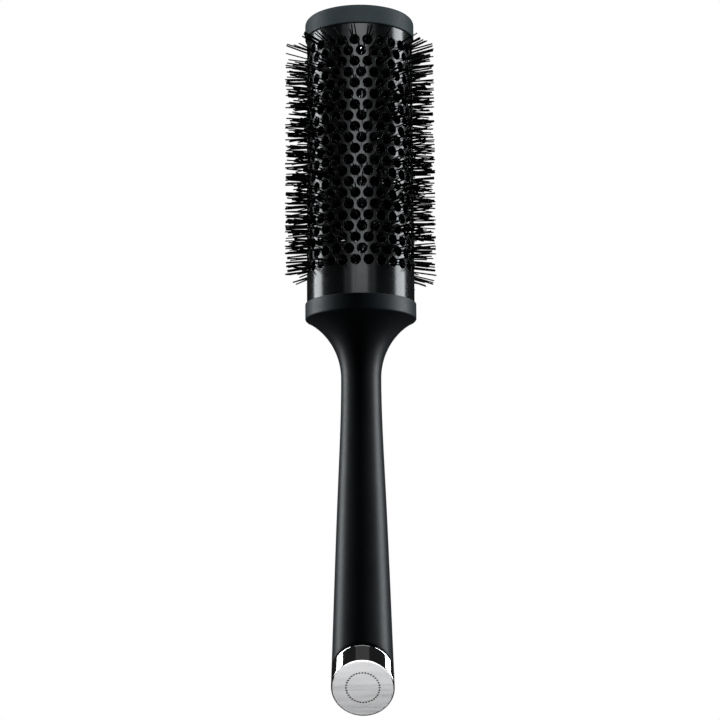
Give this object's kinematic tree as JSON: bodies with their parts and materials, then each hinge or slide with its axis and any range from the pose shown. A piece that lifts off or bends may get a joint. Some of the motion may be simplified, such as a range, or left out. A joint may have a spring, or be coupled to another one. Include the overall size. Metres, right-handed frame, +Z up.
{
  "type": "round barrel brush",
  "caption": "Vented round hair brush: perforated barrel with radial bristles, soft-touch cap, collar and flared handle, slanted metal end.",
  "frame": {"origin": "on the barrel's axis, at the collar's underside, where the brush hangs in a holder ring", "axes": "+Z up the barrel, away from the handle; the slanted end face looks towards -Y and down"},
  "size_m": [0.0636, 0.0636, 0.2928],
  "materials": {
    "barrel": "black ceramic coat on aluminium, satin gloss",
    "soft_touch": "soft-touch coated charcoal",
    "grip": "satin soft-touch black",
    "core": "moulded",
    "plug": "moulded",
    "bristle": "black nylon filament",
    "stem_wire": "drawn galvanised wire",
    "sleeve": "crimped steel",
    "screw_steel": "zinc plated",
    "chrome": "polished chrome plate",
    "satin_disc": "satin anodised",
    "pad": "foam adhesive pad"
  },
  "bodies": {
    "root": {"barrel_tube": "barrel", "cap_shell": "soft_touch", "cap_plug": "plug", "collar_ring": "soft_touch", "base_plug": "plug", "tie_screws": "screw_steel", "stem_wire_a": "stem_wire", "stem_wire_b": "stem_wire", "stem_sleeve_base": "sleeve", "stem_sleeve_top": "sleeve", "handle_core": "core", "handle_grip": "grip", "end_ferrule": "chrome", "end_disc": "satin_disc", "disc_pad": "pad", "bristle_row_01": "bristle", "bristle_row_02": "bristle", "bristle_row_03": "bristle", "bristle_row_04": "bristle", "bristle_row_05": "bristle", "bristle_row_06": "bristle", "bristle_row_07": "bristle", "bristle_row_08": "bristle", "bristle_row_09": "bristle", "bristle_row_10": "bristle", "bristle_row_11": "bristle", "bristle_row_12": "bristle", "bristle_row_13": "bristle", "bristle_row_14": "bristle", "bristle_row_15": "bristle", "bristle_row_16": "bristle", "bristle_row_17": "bristle", "bristle_row_18": "bristle", "bristle_row_19": "bristle", "bristle_row_20": "bristle", "bristle_row_21": "bristle"}
  },
  "joints": []
}
